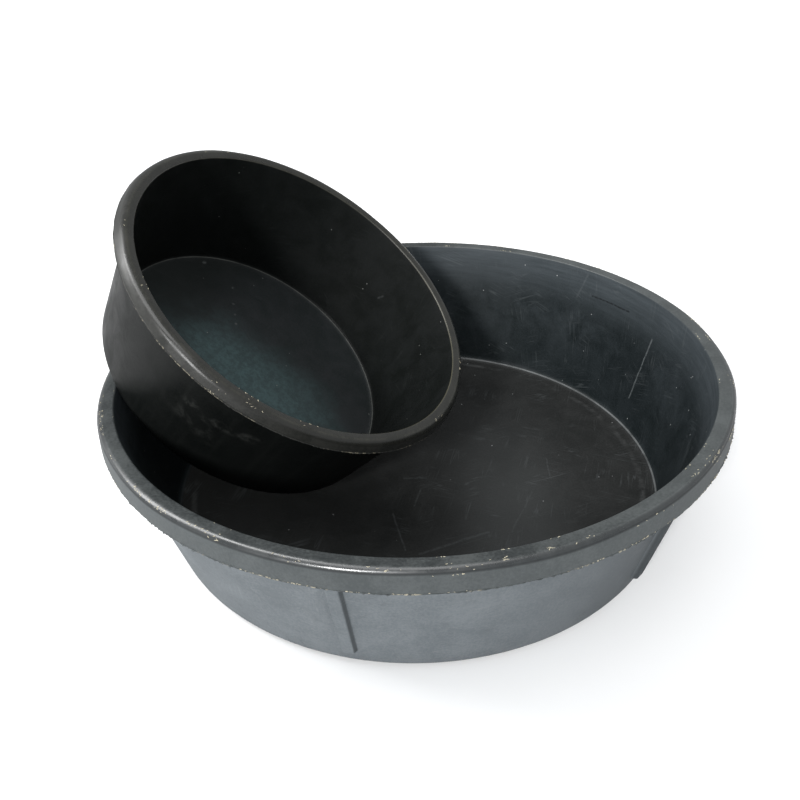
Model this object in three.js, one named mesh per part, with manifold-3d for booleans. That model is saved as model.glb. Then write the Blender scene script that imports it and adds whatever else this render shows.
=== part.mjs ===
// A nested pair of round mixing tubs, each one pressed in one piece from recycled rubber.
// The large tub stands on the ground. The small tub is loose, and leans in it: its low corner
// rests on the large tub's floor and its underside leans on the large tub's rim.
// Millimetres, +Z up, origin at the centre of the large tub's underside.
import * as THREE from 'three';
import { mergeVertices } from 'three/addons/utils/BufferGeometryUtils.js';
import Module from 'manifold-3d';

const wasm = await Module();
wasm.setup();

const SEGMENTS = 96; // sides of a lathed tub
const FILLET_STEP = Math.PI / 8; // a fillet gets one chord for each such turn

// Radii and heights of the sharp corners of a tub's section, and the fillet at each corner.
const LARGE = {
  height: 135.3,
  footRadius: 222.6,
  footFillet: 11.5,
  wallTopRadius: 252.6,
  rimRadius: 265,
  rimTopRadius: 263.8,
  rimFillet: 5,
  skirtHeight: 19.2,
  mouthRadius: 250.8,
  mouthDrop: 1.2,
  mouthFillet: 1.8,
  floorThickness: 9.2,
  floorRadius: 219.8,
  floorFillet: 8,
};
const SMALL = {
  height: 123,
  footRadius: 139.5,
  footFillet: 7.3,
  wallTopRadius: 156.3,
  rimRadius: 166.6,
  rimTopRadius: 163,
  rimFillet: 6,
  skirtHeight: 10.5,
  mouthRadius: 153.2,
  mouthDrop: 1.6,
  mouthFillet: 2,
  floorThickness: 7.5,
  floorRadius: 134.6,
  floorFillet: 5,
};
const EDGE_FILLET = 1.2; // on the lower edge of both rims

// Stiffening ribs moulded on the large tub's outer wall, from its rim down.
const RIB = {
  count: 6,
  firstAzimuth: 257.1, // degrees, counter-clockwise from +X
  faceWidth: 8.5,
  footWidth: 12.5,
  proud: 4.5,
  bottom: 21,
  sunk: 2.5, // how far a rib's foot reaches into the wall
};

// How the small tub leans: its axis is tipped from upright in one vertical plane through the
// large tub's axis, so it rests on one point of the floor and on two points of the rim.
const LEAN = {
  planeAzimuth: 159.5, // the side of the large tub that its underside leans on
  tilt: 37.7,
  baseDistance: 168.3, // from the large tub's axis to the centre of the small tub's underside
  baseHeight: 92.55,
};

// The outline, with each sharp corner [x, y, fillet] replaced by its fillet's chords.
function rounded(corners) {
  return corners.flatMap(([x, y, fillet], i) => {
    const corner = new THREE.Vector2(x, y);
    if (!fillet) return [corner];
    const back = new THREE.Vector2(...corners[i - 1].slice(0, 2)).sub(corner).normalize();
    const ahead = new THREE.Vector2(...corners[i + 1].slice(0, 2)).sub(corner).normalize();
    const half = Math.acos(back.dot(ahead)) / 2;
    const turn = Math.PI - 2 * half;
    const start = corner.clone().addScaledVector(back, fillet / Math.tan(half));
    const middle = back.clone().add(ahead).normalize();
    const centre = corner.clone().addScaledVector(middle, fillet / Math.sin(half));
    const way = Math.sign(back.cross(ahead)) * -1;
    const steps = Math.max(1, Math.round(turn / FILLET_STEP));
    return Array.from({ length: steps + 1 }, (_, k) =>
      start.clone().rotateAround(centre, (way * turn * k) / steps));
  });
}

// A tub's section from the middle of its underside, round the rim, to the middle of its floor.
function section(tub) {
  const skirt = tub.height - tub.skirtHeight;
  return rounded([
    [0, 0, 0],
    [tub.footRadius, 0, tub.footFillet],
    [tub.wallTopRadius, skirt, EDGE_FILLET],
    [tub.rimRadius, skirt, EDGE_FILLET],
    [tub.rimTopRadius, tub.height, tub.rimFillet],
    [tub.mouthRadius, tub.height - tub.mouthDrop, tub.mouthFillet],
    [tub.floorRadius, tub.floorThickness, tub.floorFillet],
    [0, tub.floorThickness, 0],
  ]);
}

// A closed solid of revolution about +Z.
function lathed(tub) {
  return new THREE.LatheGeometry(section(tub), SEGMENTS).rotateX(Math.PI / 2);
}

// The large tub's outer wall at a height.
function wallRadius(z) {
  const share = z / (LARGE.height - LARGE.skirtHeight);
  return LARGE.footRadius + (LARGE.wallTopRadius - LARGE.footRadius) * share;
}

// One rib: a bar with tapered flanks that follows the slope of the wall up into the rim.
function rib(azimuth) {
  const top = LARGE.height - LARGE.skirtHeight + 2 * EDGE_FILLET;
  const corners = [RIB.bottom, top].flatMap((z) => {
    const foot = wallRadius(z) - RIB.sunk;
    const face = wallRadius(z) + RIB.proud;
    return [
      new THREE.Vector3(foot, -RIB.footWidth / 2, z),
      new THREE.Vector3(foot, RIB.footWidth / 2, z),
      new THREE.Vector3(face, RIB.faceWidth / 2, z),
      new THREE.Vector3(face, -RIB.faceWidth / 2, z),
    ];
  });
  const geometry = new THREE.BufferGeometry().setFromPoints(corners);
  const [low, high] = [[0, 1, 2, 3], [4, 5, 6, 7]];
  const sides = low.flatMap((a, k) => {
    const b = low[(k + 1) % 4];
    return [a, high[k], high[(k + 1) % 4], a, high[(k + 1) % 4], b];
  });
  geometry.setIndex([0, 1, 2, 0, 2, 3, 4, 6, 5, 4, 7, 6, ...sides]);
  return geometry.rotateZ(THREE.MathUtils.degToRad(azimuth));
}

// three.js geometry to a manifold solid, and back.
function toSolid(geometry) {
  const bare = geometry.clone();
  bare.deleteAttribute('normal');
  bare.deleteAttribute('uv');
  const merged = mergeVertices(bare, 1e-4);
  return new wasm.Manifold(new wasm.Mesh({
    numProp: 3,
    vertProperties: new Float32Array(merged.attributes.position.array),
    triVerts: new Uint32Array(merged.index.array),
  }));
}

function toGeometry(solid) {
  const mesh = solid.getMesh();
  const geometry = new THREE.BufferGeometry();
  geometry.setAttribute('position', new THREE.BufferAttribute(mesh.vertProperties, 3));
  geometry.setIndex(new THREE.BufferAttribute(mesh.triVerts, 1));
  geometry.computeVertexNormals();
  return geometry;
}

function largeTub() {
  const ribs = Array.from({ length: RIB.count }, (_, k) =>
    toSolid(rib(RIB.firstAzimuth + (360 / RIB.count) * k)));
  return toGeometry(ribs.reduce((tub, one) => tub.add(one), toSolid(lathed(LARGE))));
}

// The lean: turned to its side of the large tub, and there tipped about its own underside.
function leaning(mesh) {
  mesh.position.set(LEAN.baseDistance, 0, LEAN.baseHeight);
  mesh.rotation.y = -THREE.MathUtils.degToRad(LEAN.tilt);
  const side = new THREE.Group();
  side.rotation.z = THREE.MathUtils.degToRad(LEAN.planeAzimuth);
  return side.add(mesh);
}

function named(name, geometry, color) {
  const material = new THREE.MeshStandardMaterial({ color, roughness: 0.6, metalness: 0 });
  const mesh = new THREE.Mesh(geometry, material);
  mesh.name = name;
  return mesh;
}

const part = new THREE.Group();
part.name = 'mortar_mixing_tubs';
part.add(named('large_tub', largeTub(), 0x2b2f33));
part.add(leaning(named('small_tub', toGeometry(toSolid(lathed(SMALL))), 0x24292a)));

export default part;
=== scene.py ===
"""Looks for a nested pair of round rubber mixing tubs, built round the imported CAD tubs."""
import math

import bpy
import numpy as np
from mathutils import Matrix, Vector


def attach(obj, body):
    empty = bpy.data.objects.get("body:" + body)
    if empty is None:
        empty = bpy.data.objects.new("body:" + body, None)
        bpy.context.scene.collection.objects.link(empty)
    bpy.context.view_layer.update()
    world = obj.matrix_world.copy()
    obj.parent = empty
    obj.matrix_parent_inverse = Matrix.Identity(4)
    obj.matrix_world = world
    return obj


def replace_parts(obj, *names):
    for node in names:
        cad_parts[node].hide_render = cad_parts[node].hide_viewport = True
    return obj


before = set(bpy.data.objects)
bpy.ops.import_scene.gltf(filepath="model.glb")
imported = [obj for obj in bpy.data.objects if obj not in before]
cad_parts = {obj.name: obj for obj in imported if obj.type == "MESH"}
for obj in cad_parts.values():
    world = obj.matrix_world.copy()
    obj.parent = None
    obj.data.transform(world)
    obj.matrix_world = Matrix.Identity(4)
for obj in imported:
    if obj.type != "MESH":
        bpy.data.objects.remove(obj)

MM = 0.001
TURN = 2 * math.pi

# Zones along a section. A fillet runs from one zone's number to the next.
BASE, WALL, UNDER, SKIRT, TOP, INNER, FLOOR = range(7)

# Each tub's section (mm): foot, rim_top, mouth and floor_edge are a corner's radius and its fillet,
# drop is how far the mouth lies below the top, and skirt is how far the rim hangs down outside.
LARGE = dict(
    node="large_tub", slot="large_rubber",
    height=135.3, foot=(222.6, 11.5), wall_top=252.6, rim=265.0, rim_top=(263.8, 5.0), skirt=19.2,
    mouth=(250.8, 1.8), drop=1.2, floor=9.2, floor_edge=(219.8, 8.0),
)
SMALL = dict(
    node="small_tub", slot="small_rubber",
    height=123.0, foot=(139.5, 7.3), wall_top=156.3, rim=166.6, rim_top=(163.0, 6.0), skirt=10.5,
    mouth=(153.2, 2.0), drop=1.6, floor=7.5, floor_edge=(134.6, 5.0),
)
EDGE_FILLET = 1.2

# Fineness of the meshes: turn between the rows of a fillet, longest span (mm), columns round a tub.
FILLET_STEP = math.radians(9)
LARGE_SPAN, SMALL_SPAN = 6.0, 5.0
LARGE_COLUMNS, SMALL_COLUMNS = 540, 480

# Stiffening ribs on the large tub's outer wall (degrees and mm): how many and where the first is,
# half widths at the face and the foot, height, lower end, and the wall's mean radius along a rib.
RIB_COUNT, RIB_FIRST = 6, 257.1
RIB_FACE, RIB_FOOT, RIB_PROUD, RIB_BOTTOM = 4.25, 6.25, 4.5, 21.0
RIB_RADIUS = LARGE["wall_top"] * 0.95
RIB_SOFT, RIB_END_START, RIB_END_LENGTH = 0.4, 1.2, 1.8
# Mesh columns beside a rib's middle line, mesh rows round its lower end, and the least gap between
# such a column and an even one (mm, mm, radians).
RIB_COLUMNS = np.array([2.2, 3.4, 3.9, 4.3, 4.8, 5.3, 5.8, 6.2, 6.7, 7.4])
RIB_ROWS = (-1.6, -1.2, -0.8, -0.4, 0, 0.4, 0.9)
COLUMN_GAP = 0.004

# A moulded rim is never quite round: height of the wave on its skirt (mm), numbers of waves per turn,
# seed, and the zone where it is strongest.
SWELL = {
    "large_tub": (0.25, (5, 7, 9, 12, 17), 3, SKIRT + 0.1),
    "small_tub": (0.22, (4, 6, 9, 13, 19), 8, SKIRT + 0.2),
}
SWELL_REACH = 0.5

# Moulding flash: points round the rim, seed, furthest reach (mm) and how much of it shows cord.
FLASH = {"large_tub": (2400, 21, 1.5, 0.8), "small_tub": (1800, 22, 0.8, 0.45)}
# Cord fibres: seed and number of clusters.
CORD = {"large_tub": (31, 110), "small_tub": (32, 14)}
# How often a cluster of fibres starts in each zone of the rim.
CORD_ZONES = {3.5: 0.2, 3.7: 0.2, 4.0: 0.2, 3.0: 0.12, 2.75: 0.14, 2.6: 0.14}

# Strength of the white surround as light, in reflections, and as the backdrop that the camera sees.
WORLD, WORLD_MIRRORED, WORLD_SEEN = 0.62, 0.45, 1.1
WORLD_COLOUR = (0.95, 0.975, 1.0, 1.0)

# The camera as it was fitted to the photo (mm of lens and sensor, metres, degrees).
LENS, SENSOR, ROLL = 37.06, 36.0, -2.31
CAMERA_PLACE, CAMERA_AIM = (0.0, -0.62388, 0.48319), (-0.0136, 0.03575, 0.06637)


# ---------------------------------------------------------------- where the CAD tubs stand

def tub_frame(node):
    """The matrix whose origin is the middle of a tub's underside and whose Z is the tub's axis."""
    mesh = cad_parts[node].data
    mesh.calc_loop_triangles()
    co = np.array([v.co for v in mesh.vertices], float)
    corner = co[np.array([t.vertices for t in mesh.loop_triangles])]
    area = np.linalg.norm(np.cross(corner[:, 1] - corner[:, 0], corner[:, 2] - corner[:, 0]), axis=1)
    middle = corner.mean(1)
    centre = (middle * area[:, None]).sum(0) / area.sum()
    spread = ((middle - centre) * area[:, None]).T @ (middle - centre)
    values, vectors = np.linalg.eigh(spread)
    odd = 0 if values[1] - values[0] > values[2] - values[1] else 2
    axis = Vector(vectors[:, odd] * np.sign(vectors[2, odd])).normalized()
    base = Vector(centre) + axis * float(((co - centre) @ np.array(axis)).min())
    leans = axis.z < 0.999
    side = Vector((-axis.x, -axis.y, 0)) if leans else Vector((1, 0, 0))
    side = (side - axis * side.dot(axis)).normalized()
    across = axis.cross(side)
    return Matrix.Translation(base) @ Matrix((side, across, axis)).transposed().to_4x4()


# ---------------------------------------------------------------- the fine section of a tub

def fillet_rows(corner, before, after, radius, zone):
    """Rows round one rounded corner; they leave the zone before it and reach its own."""
    back, ahead = np.array(before) - corner, np.array(after) - corner
    back, ahead = back / np.linalg.norm(back), ahead / np.linalg.norm(ahead)
    half = math.acos(back @ ahead) / 2
    turn = math.pi - 2 * half
    bisector = (back + ahead) / np.linalg.norm(back + ahead)
    centre = corner + bisector * radius / math.sin(half)
    arm = back * radius / math.tan(half) - bisector * radius / math.sin(half)
    way = -np.sign(back[0] * ahead[1] - back[1] * ahead[0])
    count = max(4, round(turn / FILLET_STEP))
    rows = []
    for k in range(count + 1):
        c, s = math.cos(way * turn * k / count), math.sin(way * turn * k / count)
        x, y = centre + (arm[0] * c - arm[1] * s, arm[0] * s + arm[1] * c)
        rows.append((x, y, zone - 1 + k / count))
    return rows


def rounded(corners):
    """The outline through the corners, each rounded off by its fillet: rows of radius, height, zone."""
    rows = []
    for i, (x, y, fillet) in enumerate(corners):
        if fillet:
            rows += fillet_rows(np.array((x, y)), corners[i - 1][:2], corners[i + 1][:2], fillet, i)
        else:
            rows.append((x, y, float(min(i, FLOOR))))
    return rows


def filled(rows, longest, extra_heights):
    """The outline with long spans cut up, and outer wall rows added at the extra heights."""
    out = [rows[0]]
    for a, b in zip(rows[:-1], rows[1:]):
        length = math.hypot(b[0] - a[0], b[1] - a[1])
        shares = set(np.linspace(0, 1, max(1, math.ceil(length / longest)) + 1)[1:])
        if a[2] == b[2] == WALL:
            shares |= {(h - a[1]) / (b[1] - a[1]) for h in extra_heights}
        for share in sorted(shares):
            out.append(tuple(p + (q - p) * share for p, q in zip(a, b)))
    return np.array(out)


def section(tub, longest=LARGE_SPAN, extra_heights=()):
    """A tub's whole section, from the middle of the underside to the middle of the floor."""
    skirt = tub["height"] - tub["skirt"]
    corners = [
        (0, 0, 0),
        (tub["foot"][0], 0, tub["foot"][1]),
        (tub["wall_top"], skirt, EDGE_FILLET),
        (tub["rim"], skirt, EDGE_FILLET),
        (tub["rim_top"][0], tub["height"], tub["rim_top"][1]),
        (tub["mouth"][0], tub["height"] - tub["drop"], tub["mouth"][1]),
        (tub["floor_edge"][0], tub["floor"], tub["floor_edge"][1]),
        (0, tub["floor"], 0),
    ]
    return filled(rounded(corners), longest, extra_heights)


# ---------------------------------------------------------------- shapes in numbers

def even_angles(count):
    return np.linspace(0, TURN, count, endpoint=False)


def smooth_step(x):
    x = np.clip(x, 0, 1)
    return x * x * (3 - 2 * x)


def wobble(angle, waves, seed):
    """A smooth closed noise round the axis, about -1 to 1, made of whole numbers of waves."""
    rng = np.random.default_rng(seed)
    total = sum(rng.normal() * np.sin(w * angle + rng.uniform(0, TURN)) for w in waves)
    return total / math.sqrt(len(waves))


def swell(tub, zones, angles):
    """How far the wave on a rim's skirt moves each row and column outwards (mm)."""
    height, waves, seed, middle = SWELL[tub["node"]]
    skirt = np.exp(-((zones - middle) / SWELL_REACH) ** 2)
    return skirt[:, None] * height * wobble(angles, waves, seed)


# ---------------------------------------------------------------- meshes

def new_mesh(name, verts, faces, tub, attributes, material):
    """A smooth mesh in row coordinates that carries its tub's local position for the materials."""
    mesh = bpy.data.meshes.new(name)
    local = np.asarray(verts, float) * MM
    m = np.array(FRAMES[tub["node"]])
    mesh.from_pydata((local @ m[:3, :3].T + m[:3, 3]).tolist(), [], faces)
    mesh.attributes.new("local", "FLOAT_VECTOR", "POINT").data.foreach_set(
        "vector", local.astype(np.float32).ravel()
    )
    for key, values in attributes.items():
        mesh.attributes.new(key, "FLOAT", "POINT").data.foreach_set(
            "value", np.asarray(values, np.float32)
        )
    mesh.polygons.foreach_set("use_smooth", [True] * len(mesh.polygons))
    mesh.materials.append(material)
    mesh.update()
    obj = bpy.data.objects.new(name, mesh)
    bpy.context.scene.collection.objects.link(obj)
    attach(obj, tub["node"])
    return obj


def ring_faces(rows, columns, first=0):
    """Quads between neighbouring rings, each of which closes on itself."""
    faces = []
    for i in range(rows - 1):
        a, b = first + i * columns, first + (i + 1) * columns
        faces += [(a + j, a + (j + 1) % columns, b + (j + 1) % columns, b + j)
                  for j in range(columns)]
    return faces


def lathe(rows, angles, shift):
    """A closed body of revolution, its first and last rows on the axis: vertices, faces, zones."""
    inner = rows[1:-1]
    r = inner[:, 0][:, None] + shift
    z = np.repeat(inner[:, 1][:, None], len(angles), 1)
    rings = np.stack([r * np.cos(angles), r * np.sin(angles), z], -1).reshape(-1, 3)
    verts = np.vstack([[0, 0, rows[0, 1]], rings, [0, 0, rows[-1, 1]]])
    n, last = len(angles), len(verts) - 1
    faces = [(0, 1 + (j + 1) % n, 1 + j) for j in range(n)]
    faces += ring_faces(len(inner), n, first=1)
    top = 1 + (len(inner) - 1) * n
    faces += [(last, top + j, top + (j + 1) % n) for j in range(n)]
    zones = np.concatenate([[BASE], np.repeat(inner[:, 2], n), [FLOOR]])
    return verts, faces, zones


def rib_angles():
    return np.radians(RIB_FIRST + 360 / RIB_COUNT * np.arange(RIB_COUNT))


def angle_apart(a, b):
    """The unsigned angle between two directions round the axis."""
    return abs((a - b + math.pi) % TURN - math.pi)


def rib_height(rows, angles):
    """How high the ribs stand at each row and angle, as a share of their full height."""
    across = angle_apart(angles[:, None], rib_angles()).min(axis=1) * RIB_RADIUS
    side = smooth_step((RIB_FOOT + RIB_SOFT - across) / (RIB_FOOT - RIB_FACE + 2 * RIB_SOFT))
    radius, height, zone = rows.T
    near_wall = (zone < UNDER - 0.01) | (radius < LARGE["wall_top"] + 1.5)
    on_wall = (zone > WALL - 0.01) & (zone < UNDER + 0.01) & near_wall
    up = smooth_step((height - RIB_BOTTOM + RIB_END_START) / RIB_END_LENGTH)
    return (up * on_wall)[:, None] * side


def large_columns():
    """Angles round the large tub, close together at the flanks of the ribs."""
    flank = RIB_COLUMNS / RIB_RADIUS
    near = [a + s * f for a in rib_angles() for f in np.append(0, flank) for s in (1, -1)]
    clear = [e for e in even_angles(LARGE_COLUMNS)
             if min(angle_apart(e, n) for n in near) > COLUMN_GAP]
    return np.unique(np.round(np.array(clear + near) % TURN, 6))


def tub_body(tub, rows, angles, raised, material):
    """A tub's rubber, with ribs where raised says so; it stands for the tub's CAD node."""
    shift = RIB_PROUD * raised + swell(tub, rows[1:-1, 2], angles)
    verts, faces, zones = lathe(rows, angles, shift)
    marks = {"zone": zones, "rib": np.concatenate([[0], raised.ravel(), [0]])}
    name = tub["node"] + "_rubber"
    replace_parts(new_mesh(name, verts, faces, tub, marks, material), tub["node"])


def large_tub(material):
    rows = section(LARGE, extra_heights=[RIB_BOTTOM + d for d in RIB_ROWS])
    angles = large_columns()
    tub_body(LARGE, rows, angles, rib_height(rows[1:-1], angles), material)


def small_tub(material):
    rows, angles = section(SMALL, SMALL_SPAN), even_angles(SMALL_COLUMNS)
    tub_body(SMALL, rows, angles, np.zeros((len(rows) - 2, len(angles))), material)


def flash(tub, material):
    """The ragged fin of moulding flash left along the lower edge of a rim."""
    count, seed, reach, _ = FLASH[tub["node"]]
    angles = even_angles(count)
    rng = np.random.default_rng(seed)
    ragged = np.convolve(np.tile(rng.uniform(0, 1, count), 3), np.ones(3) / 3, "same")[count:2 * count]
    patches = smooth_step(0.5 + 0.9 * wobble(angles, (7, 11, 17, 29, 43), seed + 1))
    out = reach * (0.15 + (0.35 + 0.65 * patches) * ragged ** 2)
    low = tub["height"] - tub["skirt"]
    edge = tub["rim"] - EDGE_FILLET * 0.4
    root, droop = edge - 0.9 + 0 * out, 0.35 * out
    corners = [
        (root, low + 0.55 + 0 * out),
        (edge + out, low + 0.28 - droop),
        (edge + out, low + 0.08 - droop),
        (root, low + 0.05 + 0 * out),
    ]
    verts = np.concatenate([
        np.stack([r * np.cos(angles), r * np.sin(angles), z], -1) for r, z in corners
    ])
    faces = ring_faces(4, count)
    faces += [(3 * count + j, 3 * count + (j + 1) % count, (j + 1) % count, j) for j in range(count)]
    new_mesh(tub["node"] + "_flash", verts, [f[::-1] for f in faces], tub, {}, material)


def surface(tub, angle, along):
    """Point, outward normal, direction round and direction up the section; along is a zone number."""
    rows, step = SECTIONS[tub["node"]], 0.03
    rising = rows[:, 2] + 1e-7 * np.arange(len(rows))  # np.interp wants zones that never repeat
    r, z = (np.interp(along, rising, rows[:, k]) for k in (0, 1))
    dr, dz = (np.interp(along + step, rising, rows[:, k]) - np.interp(along - step, rising, rows[:, k])
              for k in (0, 1))
    spoke = np.array((math.cos(angle), math.sin(angle), 0))
    slope = spoke * dr + np.array((0, 0, dz))
    slope /= np.linalg.norm(slope)
    round_ = np.array((-spoke[1], spoke[0], 0))
    return spoke * r + np.array((0, 0, z)), np.cross(round_, slope), round_, slope


def tube(path, radius, sides=6, taper=0.35):
    """Vertices and faces of a closed tube along a path, thinner at its ends."""
    path = np.asarray(path)
    steps = len(path)
    ahead = np.gradient(path, axis=0)
    ahead /= np.linalg.norm(ahead, axis=1)[:, None]
    side = np.cross(ahead, (0.31, 0.22, 0.93))  # any direction that no fibre runs along
    side /= np.linalg.norm(side, axis=1)[:, None]
    other = np.cross(ahead, side)
    thick = radius * np.sin(np.linspace(taper, math.pi - taper, steps))
    turn = even_angles(sides)
    rings = path[:, None] + thick[:, None, None] * (
        np.cos(turn)[None, :, None] * side[:, None] + np.sin(turn)[None, :, None] * other[:, None]
    )
    faces = ring_faces(steps, sides)
    faces.append(tuple(range(sides))[::-1])
    faces.append(tuple((steps - 1) * sides + k for k in range(sides)))
    return rings.reshape(-1, 3), faces


def fibre_path(tub, rng, angle, along):
    """One short cord fibre (mm) lying on the rubber and lifting a little at its ends."""
    point, normal, round_, slope = surface(tub, angle, along)
    heading = rng.normal(0, 0.5)
    way = math.cos(heading) * round_ + math.sin(heading) * slope
    side = np.cross(normal, way)
    length = rng.uniform(0.5, 2.2)
    t = np.linspace(-0.5, 0.5, 6)
    bend = rng.normal(0, 0.5) * t ** 2 * length
    lift = 0.1 + rng.uniform(0, 0.8) * t ** 2 * length * 0.5
    return point + np.outer(t * length, way) + np.outer(bend, side) + np.outer(lift, normal)


def fibres(tub, material):
    """Cut ends of cord fibre that show along the rim, in loose clusters."""
    seed, clusters = CORD[tub["node"]]
    rng = np.random.default_rng(seed)
    verts, faces, shade, start = [], [], [], 0
    for _ in range(clusters):
        middle = rng.uniform(0, TURN)
        zone = rng.choice(list(CORD_ZONES), p=list(CORD_ZONES.values()))
        for _ in range(rng.integers(2, 10)):
            angle = middle + rng.normal(0, 5.0) / tub["rim"]
            along = np.clip(zone + rng.normal(0, 0.08), 2.5, 4.45)
            path = fibre_path(tub, rng, angle, along)
            v, f = tube(path, rng.uniform(0.12, 0.3))
            faces += [tuple(start + k for k in face) for face in f]
            start += len(v)
            verts.append(v)
            shade.append(np.full(len(v), rng.uniform()))
    marks = {"shade": np.concatenate(shade)}
    new_mesh(tub["node"] + "_cord", np.concatenate(verts), faces, tub, marks, material)


# ---------------------------------------------------------------- material nodes

class Shader:
    """Short names for the shader nodes that the materials are made of."""

    def __init__(self, name):
        self.material = bpy.data.materials.new(name)
        self.material.use_nodes = True
        self.tree = self.material.node_tree
        self.tree.nodes.clear()

    def node(self, kind, inputs=(), out=0, **settings):
        n = self.tree.nodes.new(kind)
        for key, value in settings.items():
            setattr(n, key, value)
        for key, value in dict(inputs).items():
            self.put(n.inputs[key], value)
        return n.outputs[out]

    def put(self, socket, value):
        if isinstance(value, bpy.types.NodeSocket):
            self.tree.links.new(value, socket)
        else:
            socket.default_value = value

    def attribute(self, name, out="Fac"):
        return self.node("ShaderNodeAttribute", out=out, attribute_name=name)

    def parts(self, vector):
        n = self.node("ShaderNodeSeparateXYZ", {0: vector}).node
        return n.outputs[0], n.outputs[1], n.outputs[2]

    def join(self, x, y, z=0.0):
        return self.node("ShaderNodeCombineXYZ", {0: x, 1: y, 2: z})

    def vector(self, operation, a, b, out=0):
        return self.node("ShaderNodeVectorMath", {0: a, 1: b}, out=out, operation=operation)

    def stretch(self, vector, scale):
        return self.node("ShaderNodeMapping", {"Vector": vector, "Scale": scale})

    def math(self, operation, a, b=0.0, c=0.0, clamp=False):
        return self.node("ShaderNodeMath", {0: a, 1: b, 2: c}, operation=operation, use_clamp=clamp)

    def mul(self, a, b):
        return self.math("MULTIPLY", a, b)

    def add(self, a, b):
        return self.math("ADD", a, b)

    def most(self, a, b):
        return self.math("MAXIMUM", a, b)

    def without(self, mask, other):
        """What one mask covers and another does not."""
        return self.mul(mask, self.math("SUBTRACT", 1.0, other))

    def fade(self, value, start, end, low=0.0, high=1.0):
        return self.node(
            "ShaderNodeMapRange", {0: value, 1: start, 2: end, 3: low, 4: high},
            interpolation_type="SMOOTHSTEP",
        )

    def band(self, value, low, high, soft):
        """1 between low and high, falling to 0 over soft on either side."""
        return self.mul(self.fade(value, low - soft, low), self.fade(value, high + soft, high))

    def noise(self, vector, scale, detail=3.0, rough=0.55, bend=0.0, out=0):
        return self.node(
            "ShaderNodeTexNoise", {"Vector": vector, "Scale": scale, "Detail": detail,
                                   "Roughness": rough, "Distortion": bend}, out=out,
        )

    def cells(self, vector, scale, out="Distance"):
        return self.node("ShaderNodeTexVoronoi", {"Vector": vector, "Scale": scale}, out=out)

    def mix(self, share, a, b):
        n = self.tree.nodes.new("ShaderNodeMix")
        n.data_type = "RGBA"
        self.put(n.inputs[0], share)
        for socket, value in ((n.inputs[6], a), (n.inputs[7], b)):
            self.put(socket, (*value, 1.0) if isinstance(value, tuple) else value)
        return n.outputs[2]

    def blend(self, share, a, b):
        return self.node("ShaderNodeMix", {0: share, 2: a, 3: b}, data_type="FLOAT")

    def finish(self, colour, roughness, height, strength, distance=MM, **principled):
        bump = self.node("ShaderNodeBump",
                         {"Strength": strength, "Distance": distance, "Height": height})
        inputs = {"Base Color": colour, "Roughness": roughness, "Normal": bump}
        inputs.update({k.replace("_", " "): v for k, v in principled.items()})
        output = self.tree.nodes.new("ShaderNodeOutputMaterial")
        self.put(output.inputs[0], self.node("ShaderNodeBsdfPrincipled", inputs))
        return self.material


# ---------------------------------------------------------------- wear and dirt

def scratch(s, place, start, end, width):
    """A mask along one straight scratch; start, end and width in mm."""
    a, b = (Vector((*point, 0)) * MM for point in (start, end))
    gone = s.vector("SUBTRACT", place, a)
    share = s.math("DIVIDE", s.vector("DOT_PRODUCT", gone, b - a, out="Value"),
                   (b - a).length_squared, clamp=True)
    foot = s.node("ShaderNodeVectorMath", {0: b - a, "Scale": share}, operation="SCALE")
    away = s.vector("DISTANCE", gone, foot, out="Value")
    return s.fade(away, width * MM, 0.25 * width * MM)


def scratches(s, place, rows, drift=3.0 * MM):
    """The strongest of several scratches, each row being start, end, width and strength."""
    aside = s.vector("MULTIPLY", s.noise(place, 45.0, 2.0, out="Color"), (drift, drift, 0.0))
    place = s.vector("ADD", s.vector("ADD", place, aside), (-drift / 2, -drift / 2, 0.0))
    total = 0.0
    for start, end, width, strength in rows:
        total = s.most(total, s.mul(scratch(s, place, start, end, width), strength))
    broken = s.fade(s.noise(place, 260.0, 2.0), 0.34, 0.55, 0.35, 1.0)
    return s.mul(total, broken)


def hairlines(s, place, turns, length, spread, thin):
    """Fine hair scratches that cross one another in patches (radians, mm, mm, share of the spread)."""
    total = 0.0
    for k, turn in enumerate(turns):
        v = s.node("ShaderNodeMapping", {0: place, 1: (0.7 * k, 0.3 * k, 0), 2: (0, 0, turn),
                                         3: (length * MM, spread * MM, 1)}, vector_type="TEXTURE")
        off = s.math("ABSOLUTE", s.add(s.noise(v, 1.0, 1.0, 0.4), -0.5))
        patch = s.fade(s.noise(s.vector("ADD", place, Vector((k, 0, 0))), 26.0, 3.0), 0.5, 0.72)
        total = s.most(total, s.mul(s.fade(off, thin, 0.2 * thin), patch))
    return total


def specks(s, vector, scale, size, share):
    """Small round specks: a share of the cells of a Voronoi pattern."""
    spot = s.fade(s.cells(vector, scale), size, size * 0.5)
    chosen = s.node("ShaderNodeSeparateColor", {0: s.cells(vector, scale, out="Color")})
    return s.mul(spot, s.math("LESS_THAN", chosen, share))


# ---------------------------------------------------------------- tub rubber

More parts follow.
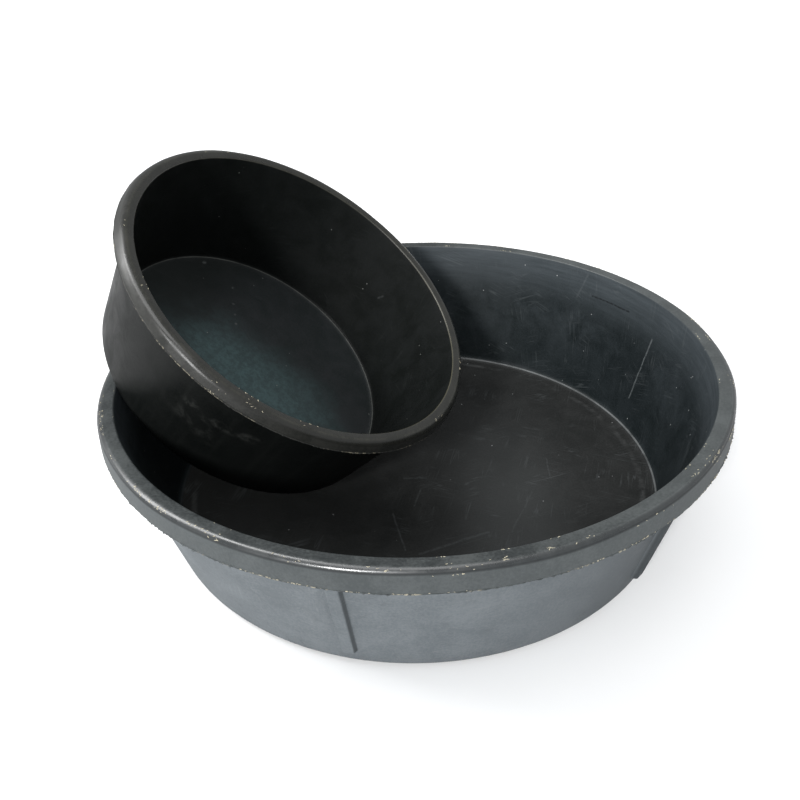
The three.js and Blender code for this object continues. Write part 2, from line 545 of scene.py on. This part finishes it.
class Places:
    """Where a point of a tub's rubber is, in the ways that its shader asks for."""

    def __init__(self, s, unroll_radius):
        self.point, self.zone, self.rib = (
            s.attribute("local", "Vector"), s.attribute("zone"), s.attribute("rib"))
        self.x, self.y, self.z = s.parts(self.point)
        around = s.mul(s.math("ARCTAN2", self.y, self.x), unroll_radius * MM)
        self.unrolled, self.flat = s.join(around, self.z), s.join(self.x, self.y)
        # How far the point belongs to each part of the section after the underside.
        self.masks = {
            "wall": s.fade(self.zone, 0.4, 0.9),
            "skirt": s.fade(self.zone, 1.9, 2.3),
            "top": s.fade(self.zone, 3.3, 3.8),
            "inner": s.fade(self.zone, 4.5, 5.0),
            "floor": s.fade(self.zone, 5.45, 5.75),
        }
        self.floor = self.masks["floor"]
        self.inside = self.masks["inner"]
        self.inner_wall = s.without(self.inside, self.floor)
        self.outer_wall = s.without(self.masks["wall"], self.masks["skirt"])
        self.rim_top = s.without(self.masks["top"], self.inside)


def clean_rubber(s, at, look, patchy, grain):
    """Colour, roughness and specular level of each part of the section with painted shade on the rim's
    outer fillet, before any dirt.
    """
    colour, rough, shine = look["under"], 0.6, 0.3
    mottle = s.fade(s.add(s.mul(patchy, 0.55), s.mul(grain, 0.45)), 0.36, 0.64)
    for part, mask in at.masks.items():
        low, high, part_rough, part_shine = look[part]
        colour = s.mix(mask, colour, s.mix(mottle, low, high))
        rough = s.blend(mask, rough, part_rough)
        shine = s.blend(mask, shine, part_shine)
    polished = s.band(at.zone, 3.38, 3.75, 0.15)
    rough = s.blend(polished, rough, look["edge_rough"])
    shine = s.blend(polished, shine, look["edge_shine"])
    shine = s.mul(shine, s.fade(s.mul(at.rib, at.x), 0.03, 0.1, 1.0, 0.2))
    # Painted shade: a dark line along the rim's outer fillet, where it would reflect the dark
    # surroundings.
    colour = s.mix(s.mul(s.band(at.zone, 3.2, 3.6, 0.2), 0.7), colour, look["edge"])
    return colour, rough, shine


def wear_marks(s, at, look):
    """Scratches and hairlines on the floor and the inner wall, all in one mask."""
    on_floor = s.mul(at.floor, scratches(s, at.flat, look["floor_marks"]))
    near_wall = s.band(at.zone, INNER - 0.2, INNER + 0.3, 0.1)
    on_wall = s.mul(near_wall, scratches(s, at.unrolled, look["wall_marks"]))
    turns = (0.35, 1.3, 2.75)
    wall_hairs = s.mul(hairlines(s, at.unrolled, turns, 85, 5.0, 0.022), at.inside)
    hairs = s.blend(at.floor, wall_hairs, hairlines(s, at.flat, turns, 110, 5.5, 0.020))
    return s.most(s.most(on_floor, on_wall), s.mul(hairs, look["hair"]))


def dust_and_corner_highlight(s, at, look, colour, patchy):
    """A pale line round the corner of the floor, dust and a painted highlight, and dust specks inside
    the tub.
    """
    # Dust and a painted highlight: a pale line round the floor's corner fillet, on the large tub
    # strongest on its right side.
    corner_dust_and_highlight = s.mul(s.band(at.zone, 5.46, 5.54, 0.07), s.fade(patchy, 0.25, 0.6, 0.35, 1.0))
    corner_dust_and_highlight = s.mul(corner_dust_and_highlight, s.fade(at.x, *look["corner_from"], 0.12, 1.0))
    colour = s.mix(s.mul(corner_dust_and_highlight, look["corner"]), colour, look["dust"])
    dots = s.mul(specks(s, at.point, 160.0, 0.13, 0.05), at.inside)
    return s.mix(s.mul(dots, look["speck"]), colour, look["dust"])


def tub_rubber(name, look, dirt_and_painted_light):
    """Moulded recycled rubber, each part of the section with its own colour, gloss, dirt and painted
    light and shade.
    """
    s = Shader(name)
    at = Places(s, look["unroll"])
    patchy = s.noise(at.point, look["patch_scale"], 6.0, 0.62, 0.5)
    grain = s.noise(at.point, 520.0, 3.0, 0.7)
    colour, rough, shine = clean_rubber(s, at, look, patchy, grain)
    colour = dirt_and_painted_light(s, at, look, colour)
    wear = wear_marks(s, at, look)
    colour = dust_and_corner_highlight(s, at, look, s.mix(wear, colour, look["scuff"]), patchy)
    rough = s.add(rough, s.fade(patchy, 0.3, 0.7, -0.07, 0.07))
    bumps = s.add(s.mul(grain, 0.5), s.add(s.mul(patchy, 0.8), s.mul(wear, -0.4)))
    return s.finish(colour, rough, bumps, 0.3, 0.4 * MM, Specular_IOR_Level=shine, IOR=1.5)


def large_inside(s, at, look, colour, cloud):
    """Blue-grey bloom below the mouth, painted shade in a crease, and a dust ring and a stripe of dust
    and painted highlight on the floor.
    """
    combed = s.noise(s.stretch(at.unrolled, (16.0, 260.0, 1.0)), 1.0, 5.0, 0.7)
    high_up = s.mul(s.fade(at.z, 0.078, 0.136), s.fade(combed, 0.3, 0.7, 0.5, 0.8))
    cloudy = s.mul(s.fade(cloud, 0.42, 0.7), s.fade(at.z, 0.03, 0.095, 0.05, 0.24))
    bloom = s.mul(at.inner_wall, s.most(high_up, cloudy))
    colour = s.mix(bloom, colour, look["bloom"])
    # Painted shade: a dark line in the edge colour along a crease high on the inner wall.
    crease_shade = s.mul(at.inner_wall, scratches(s, at.unrolled, look["creases"]))
    colour = s.mix(crease_shade, colour, look["edge"])
    radius = s.vector("LENGTH", at.flat, (0, 0, 0), out="Value")
    ring = s.mul(s.band(radius, 0.2065, 0.2075, 0.0035), s.fade(cloud, 0.42, 0.65))
    colour = s.mix(s.mul(s.mul(ring, at.floor), 0.09), colour, look["dust"])
    # Dust and a painted highlight: a pale stripe over the floor, running from the front towards the
    # back.
    dust_and_highlight_stripe = s.mul(s.fade(s.add(at.y, s.mul(cloud, 0.12)), 0.24, 0.0), s.band(at.x, 0.075, 0.095, 0.06))
    return s.mix(s.mul(s.mul(dust_and_highlight_stripe, at.floor), 0.42), colour, look["floor_dust"])


def large_outside(s, at, look, colour):
    """Grime and painted shade along the ribs, painted shade on the right side of the ribs and wall,
    handling smudges on the wall and a painted sheen on the right of the rim top.
    """
    # Grime and painted shade in the crevices along the ribs' flanks.
    flank = s.band(at.rib, 0.25, 0.75, 0.2)
    colour = s.mix(s.mul(flank, 0.5), colour, look["grime"])
    # Painted shade: the ribs on the right side, turned from the key light, made darker.
    right_rib_shade = s.mul(s.fade(at.rib, 0.15, 0.5), s.fade(at.x, 0.08, 0.17))
    colour = s.mix(s.mul(right_rib_shade, 0.8), colour, look["grime"])
    smudge = s.fade(s.noise(at.point, 60.0, 6.0, 0.7, 1.2), 0.54, 0.72)
    # Real smudges plus painted shade: the outer wall darkens towards the right side, away from the key
    # light.
    smudge = s.most(s.mul(smudge, 0.4), s.fade(at.x, 0.02, 0.25, 0.0, 0.8))
    colour = s.mix(s.mul(at.outer_wall, smudge), colour, look["smudge"])
    # Painted shade: more darkening over the outer wall's right side.
    right_wall_shade = s.mul(at.outer_wall, s.fade(at.x, 0.08, 0.24, 0.0, 0.25))
    colour = s.mix(right_wall_shade, colour, look["grime"])
    # Painted reflection: the rim top made paler towards the right side.
    right_rim_sheen = s.mul(at.rim_top, s.fade(at.x, 0.02, 0.2, 0.0, 0.3))
    colour = s.mix(right_rim_sheen, colour, look["chalk"])
    pale = hairlines(s, at.unrolled, (0.2, 1.4, 2.9), 60, 5.0, 0.02)
    return s.mix(s.mul(s.mul(at.outer_wall, pale), 0.10), colour, look["dust"])


def large_dirt_and_painted_light(s, at, look, colour):
    cloud = s.noise(at.point, 20.0, 8.0, 0.72, 0.4)
    return large_outside(s, at, look, large_inside(s, at, look, colour, cloud))


def small_inside(s, at, look, colour, cloud):
    """A teal bloom, partly a painted reflection, over one side of the floor, and painted shade over the
    other side.
    """
    # Teal bloom and a painted sky reflection: a pale oval over one side of the floor.
    oval = s.vector("MULTIPLY", at.flat, (0.55, 1, 1))
    away = s.vector("DISTANCE", oval, Vector((-6, 36, 0)) * MM, out="Value")
    bloom = s.fade(s.add(away, s.mul(cloud, 0.05)), 0.118, 0.04)
    fine = s.fade(s.noise(at.point, 190.0, 5.0, 0.7), 0.35, 0.65, 0.55, 1.0)
    colour = s.mix(s.mul(s.mul(at.floor, bloom), fine), colour, look["bloom"])
    # Painted shade: the floor made darker towards local +x.
    shaded_side = s.mul(at.floor, s.fade(s.add(at.x, s.mul(cloud, 0.04)), 0.055, 0.125))
    return s.mix(s.mul(shaded_side, 0.85), colour, look["shade"])


def small_outside(s, at, look, colour, cloud):
    """Dust smears and streaks low on the wall, painted shade over the inner rim top, and an olive lip
    of wear and painted highlight on one side.
    """
    broken = s.fade(s.noise(at.point, 75.0, 4.0, 0.6, 0.8), 0.42, 0.62)
    smear = s.mul(s.mul(scratches(s, at.unrolled, look["smears"]), at.outer_wall), broken)
    colour = s.mix(smear, colour, look["dust"])
    streak = s.noise(s.stretch(at.unrolled, (120.0, 9.0, 1.0)), 1.0, 4.0)
    streaky = s.mul(at.outer_wall, s.fade(streak, 0.5, 0.72))
    colour = s.mix(s.mul(streaky, 0.14), colour, look["smudge"])
    # Painted shade: the inner part of the rim top darkened, as a rounder rim would be.
    rim_top_shade = s.band(at.zone, TOP - 0.02, TOP + 0.3, 0.1)
    colour = s.mix(s.mul(rim_top_shade, 0.6), colour, look["edge"])
    # Wear and a painted highlight: an olive line along the mouth, strongest towards local -x.
    worn_and_lit_side = s.fade(s.add(at.x, s.mul(cloud, 0.05)), 0.03, -0.1, 0.2, 1.0)
    lip = s.mul(s.band(at.zone, 4.5, 4.8, 0.12), worn_and_lit_side)
    return s.mix(s.mul(lip, 0.8), colour, look["lip"])


def small_dirt_and_painted_light(s, at, look, colour):
    cloud = s.noise(at.point, 22.0, 5.0, 0.6, 0.5)
    return small_outside(s, at, look, small_inside(s, at, look, colour, cloud), cloud)


def unroll(azimuth, height, radius):
    """A place on an inner or outer wall, as the unrolled wall has it (mm)."""
    return (math.radians(azimuth) * radius, height)


# Each part's look: darker and lighter colour, roughness and specular level. The rest are the colours
# and strengths of the painted shade at edges, of other painted light, dust and marks. A mark is start,
# end, width (mm) and strength.
LARGE_LOOK = dict(
    unroll=235, patch_scale=30.0, under=(0.03, 0.033, 0.035),
    wall=((0.103, 0.118, 0.128), (0.148, 0.164, 0.175), 0.62, 0.25),
    skirt=((0.052, 0.060, 0.062), (0.078, 0.087, 0.089), 0.50, 0.35),
    top=((0.016, 0.019, 0.0195), (0.056, 0.062, 0.062), 0.37, 0.40),
    inner=((0.0068, 0.0096, 0.0104), (0.0125, 0.0164, 0.0182), 0.48, 0.18),
    floor=((0.0135, 0.0142, 0.0139), (0.0208, 0.0216, 0.0212), 0.46, 0.17),
    # The edge colour is painted shade, on the rim's outer fillet and in the crease on the inner wall.
    edge=(0.008, 0.009, 0.010), edge_rough=0.30, edge_shine=0.9,
    # The floor stripe colour is dust and a painted highlight.
    bloom=(0.062, 0.073, 0.081), floor_dust=(0.046, 0.049, 0.049),
    # The grime colour also paints shade, the chalk colour paints a sheen, and the smudge colour also
    # paints shade on the right.
    smudge=(0.078, 0.087, 0.093), grime=(0.022, 0.025, 0.026), chalk=(0.100, 0.110, 0.110),
    dust=(0.36, 0.37, 0.37), scuff=(0.16, 0.175, 0.18), cord=(0.42, 0.385, 0.29),
    # corner is the strength of the pale corner line, dust and a painted highlight.
    corner=0.28, corner_from=(-0.13, 0.05), speck=0.7, hair=0.13,
    wall_marks=[
        (unroll(18.5, 101, 235), unroll(18.9, 37, 235), 1.3, 0.42),
        (unroll(42.5, 129, 235), unroll(44.1, 105, 235), 1.5, 0.12),
    ],
    # The crease is a painted shade line.
    creases=[(unroll(39.7, 110.9, 235), unroll(28.2, 111.5, 235), 1.3, 0.8)],
    floor_marks=[
        ((-22, -62), (-11, -109), 1.1, 0.13),
        ((1, -114), (60, -89), 2.0, 0.10),
        ((80, -90), (104, -37), 1.2, 0.06),
        ((125, 14), (124, -17), 1.0, 0.10),
        ((-12, -11), (9, -12), 1.4, 0.09),
        ((-3, -52), (3, -29), 1.3, 0.10),
    ],
)
SMALL_LOOK = dict(
    unroll=148, patch_scale=42.0, under=(0.01, 0.011, 0.011),
    wall=((0.0050, 0.0058, 0.0056), (0.0076, 0.0085, 0.0081), 0.42, 0.085),
    skirt=((0.015, 0.016, 0.0145), (0.030, 0.030, 0.027), 0.36, 0.50),
    top=((0.012, 0.0125, 0.0095), (0.031, 0.0305, 0.024), 0.27, 0.60),
    inner=((0.0052, 0.0062, 0.0057), (0.0078, 0.0090, 0.0088), 0.50, 0.12),
    floor=((0.0160, 0.0198, 0.0198), (0.0240, 0.0265, 0.0282), 0.50, 0.18),
    # The edge colour is painted shade, on the rim's outer fillet and over the inner part of the rim
    # top.
    edge=(0.012, 0.012, 0.010), edge_rough=0.28, edge_shine=0.7,
    # The bloom colour is partly a painted reflection, shade is painted shade, and the lip colour is
    # wear with a painted highlight.
    bloom=(0.058, 0.095, 0.098), shade=(0.010, 0.012, 0.0115), lip=(0.062, 0.058, 0.038),
    smudge=(0.022, 0.024, 0.022), dust=(0.30, 0.31, 0.29), scuff=(0.07, 0.075, 0.075),
    # corner is the strength of the pale corner line, dust and a painted highlight.
    cord=(0.38, 0.345, 0.255), corner=0.22, corner_from=(-1.0, -0.9), speck=0.4, hair=0.07,
    wall_marks=[(unroll(-110, 68, 148), unroll(-111, 73, 148), 1.6, 0.3)],
    floor_marks=[
        ((68.3, -69), (68.3, -68), 1.8, 0.9),
        ((55.5, -49.5), (55.5, -49), 2.0, 1.0),
        ((46.4, -39), (46.4, -38.5), 1.7, 0.9),
        ((38.7, -29.4), (38.7, -29), 1.8, 1.0),
        ((106, -71), (106, -69), 2.4, 1.0),
    ],
    smears=[
        (unroll(89, 74, 148), unroll(96, 62, 148), 9.0, 0.055),
        (unroll(98, 72, 148), unroll(110, 78, 148), 7.0, 0.065),
        (unroll(85, 60, 148), unroll(100, 50, 148), 11.0, 0.035),
    ],
)


def flash_rubber(tub, name, look):
    """Thin moulding flash: rubber with pale cord showing where it was torn off."""
    s = Shader(name)
    p = s.attribute("local", "Vector")
    torn = s.fade(s.noise(p, 30.0, 3.0, 0.6), 0.5, 0.6)
    torn = s.mul(torn, s.fade(s.noise(p, 420.0, 2.0), 0.46, 0.6))
    low, high = look["skirt"][:2]
    colour = s.mix(s.fade(s.noise(p, 120.0, 3.0), 0.3, 0.7), low, high)
    shows_cord = FLASH[tub["node"]][3]
    colour = s.mix(s.mul(torn, shows_cord), colour, look["cord"])
    return s.finish(colour, 0.75, s.noise(p, 900.0, 3.0), 0.5)


def cord_fibre(name, look):
    """Cream to tan cord, dulled by dust."""
    s = Shader(name)
    p = s.attribute("local", "Vector")
    pale = tuple(min(1.0, 1.35 * c) for c in look["cord"])
    colour = s.mix(s.attribute("shade"), look["cord"], pale)
    colour = s.mix(s.fade(s.noise(p, 500.0, 3.0), 0.45, 0.75), colour, (0.2, 0.19, 0.17))
    return s.finish(colour, 0.85, s.noise(p, 2500.0, 2.0), 0.6, 0.2 * MM)


def floor_paint():
    """Matt white paint, dimmer in reflections so that glossy rubber stays as dark as in the photo."""
    s = Shader("pale_floor")
    p = s.node("ShaderNodeTexCoord", out="Object")
    colour = s.mix(s.fade(s.noise(p, 3.0, 3.0), 0.3, 0.7), (0.88, 0.88, 0.88), (0.9, 0.9, 0.9))
    mirrored = s.node("ShaderNodeLightPath", out="Is Glossy Ray")
    colour = s.mix(s.mul(mirrored, 0.5), colour, (0.2, 0.2, 0.2))
    return s.finish(colour, 0.9, s.noise(p, 90.0, 3.0), 0.05, Specular_IOR_Level=0.1)


# ---------------------------------------------------------------- floor, light and camera

def stage_floor():
    bpy.ops.mesh.primitive_plane_add(size=60, location=(0, 0, 0))
    floor = bpy.context.object
    floor.name = "stage_floor"
    floor.data.materials.append(floor_paint())


def direction(azimuth, elevation):
    az, up = math.radians(azimuth), math.radians(elevation)
    return Vector((math.cos(up) * math.cos(az), math.cos(up) * math.sin(az), math.sin(up)))


def lamp(light, way):
    """A lamp in the scene that shines against the direction it is given."""
    obj = bpy.data.objects.new(light.name, light)
    obj.rotation_euler = way.to_track_quat("Z", "Y").to_euler()
    bpy.context.scene.collection.objects.link(obj)
    return obj


def softbox(name, azimuth, elevation, distance, size, power):
    """A tall oval softbox that looks at the tubs from one direction (degrees, metres, watts)."""
    light = bpy.data.lights.new(name, "AREA")
    light.shape, light.energy = "ELLIPSE", power
    light.size, light.size_y = size
    way = direction(azimuth, elevation)
    lamp(light, way).location = Vector((0, 0, 0.06)) + way * distance


def sunlight(name, azimuth, elevation, spread, strength, shadows):
    """A far soft lamp; without shadows it only lifts the depths of the tubs (degrees)."""
    light = bpy.data.lights.new(name, "SUN")
    light.angle, light.energy, light.use_shadow = math.radians(spread), strength, shadows
    light.specular_factor = 1.0 if shadows else 0.0
    lamp(light, direction(azimuth, elevation))


def white_surround():
    """A white world that is weaker in reflections and brighter as the camera's own backdrop."""
    world = bpy.data.worlds.new("studio")
    world.use_nodes = True
    nodes, links = world.node_tree.nodes, world.node_tree.links
    background = nodes["Background"]
    background.inputs[0].default_value = WORLD_COLOUR
    path, dim, seen = (nodes.new(kind) for kind in (
        "ShaderNodeLightPath", "ShaderNodeMapRange", "ShaderNodeMath"))
    dim.inputs[3].default_value, dim.inputs[4].default_value = WORLD, WORLD_MIRRORED
    seen.operation, seen.inputs[1].default_value = "MULTIPLY_ADD", WORLD_SEEN - WORLD
    links.new(path.outputs["Is Glossy Ray"], dim.inputs[0])
    links.new(path.outputs["Is Camera Ray"], seen.inputs[0])
    links.new(dim.outputs[0], seen.inputs[2])
    links.new(seen.outputs[0], background.inputs[1])
    bpy.context.scene.world = world


def studio_light():
    """The surround, a front key, a shadowless fill from above and a softbox at the side."""
    white_surround()
    sunlight("key", azimuth=246, elevation=31, spread=9.0, strength=2.3, shadows=True)
    sunlight("overhead", azimuth=250, elevation=80, spread=40.0, strength=0.95, shadows=False)
    softbox("side", azimuth=172, elevation=46, distance=2.2, size=(0.8, 2.4), power=40)


def camera():
    """The camera stands in front of the tubs and looks down at them, turned a little clockwise."""
    data = bpy.data.cameras.new("camera")
    data.lens, data.sensor_width = LENS, SENSOR
    cam = bpy.data.objects.new("camera", data)
    place, aim = Vector(CAMERA_PLACE), Vector(CAMERA_AIM)
    cam.rotation_mode = "QUATERNION"
    cam.location = place
    look_at = (aim - place).to_track_quat("-Z", "Y")
    cam.rotation_quaternion = look_at @ Matrix.Rotation(math.radians(ROLL), 4, "Z").to_quaternion()
    bpy.context.scene.collection.objects.link(cam)
    bpy.context.scene.camera = cam


def main():
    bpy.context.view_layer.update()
    bpy.context.scene.view_settings.view_transform = "Standard"
    large_tub(tub_rubber("large_rubber", LARGE_LOOK, large_dirt_and_painted_light))
    small_tub(tub_rubber("small_rubber", SMALL_LOOK, small_dirt_and_painted_light))
    flash(LARGE, flash_rubber(LARGE, "large_flash", LARGE_LOOK))
    flash(SMALL, flash_rubber(SMALL, "small_flash", SMALL_LOOK))
    fibres(LARGE, cord_fibre("large_cord", LARGE_LOOK))
    fibres(SMALL, cord_fibre("small_cord", SMALL_LOOK))
    stage_floor()
    studio_light()
    camera()


FRAMES = {tub["node"]: tub_frame(tub["node"]) for tub in (LARGE, SMALL)}
SECTIONS = {tub["node"]: section(tub) for tub in (LARGE, SMALL)}
main()
